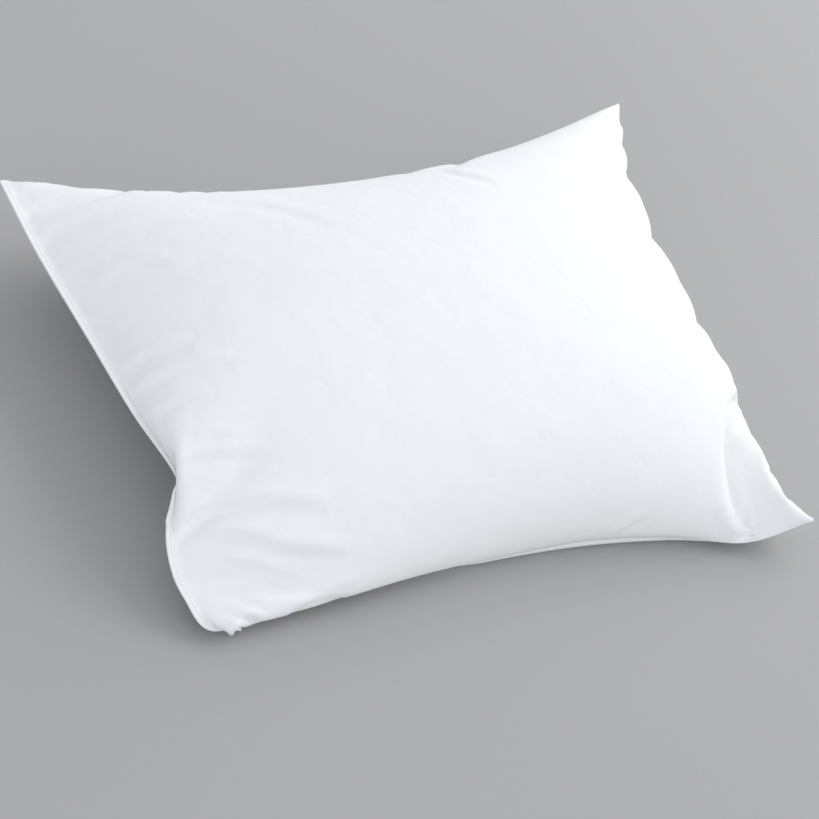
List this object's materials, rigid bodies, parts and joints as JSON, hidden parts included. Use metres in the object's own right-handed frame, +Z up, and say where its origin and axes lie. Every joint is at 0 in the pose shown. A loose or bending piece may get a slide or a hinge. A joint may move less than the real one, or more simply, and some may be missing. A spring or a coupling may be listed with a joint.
{
  "type": "bed pillow",
  "caption": "Soft rectangular knife-edge bed pillow with a plain white cover, eared corners, a fibre fill and a topstitched closing seam along one short side.",
  "frame": {"origin": "centre of the pillow's footprint, on the surface that it lies on", "axes": "+X along the long side, away from the closing seam; +Y along the short side; +Z up, out of the top panel"},
  "size_m": [0.6576, 0.486, 0.1557],
  "materials": {
    "cover_cloth": "plain-woven bleached cotton and polyester percale, matt",
    "polyester_fibre": "loose crimped white fibre",
    "sewing_thread": "spun polyester thread, slight sheen",
    "satin_tape": "blank satin label tape, soft sheen"
  },
  "bodies": {
    "root": {"top_panel": "cover_cloth", "bottom_panel": "cover_cloth", "fibre_fill": "polyester_fibre", "chainstitch_thread": "sewing_thread", "overlock_thread": "sewing_thread", "closing_needle_thread": "sewing_thread", "closing_bobbin_thread": "sewing_thread", "care_label": "satin_tape"}
  },
  "joints": []
}
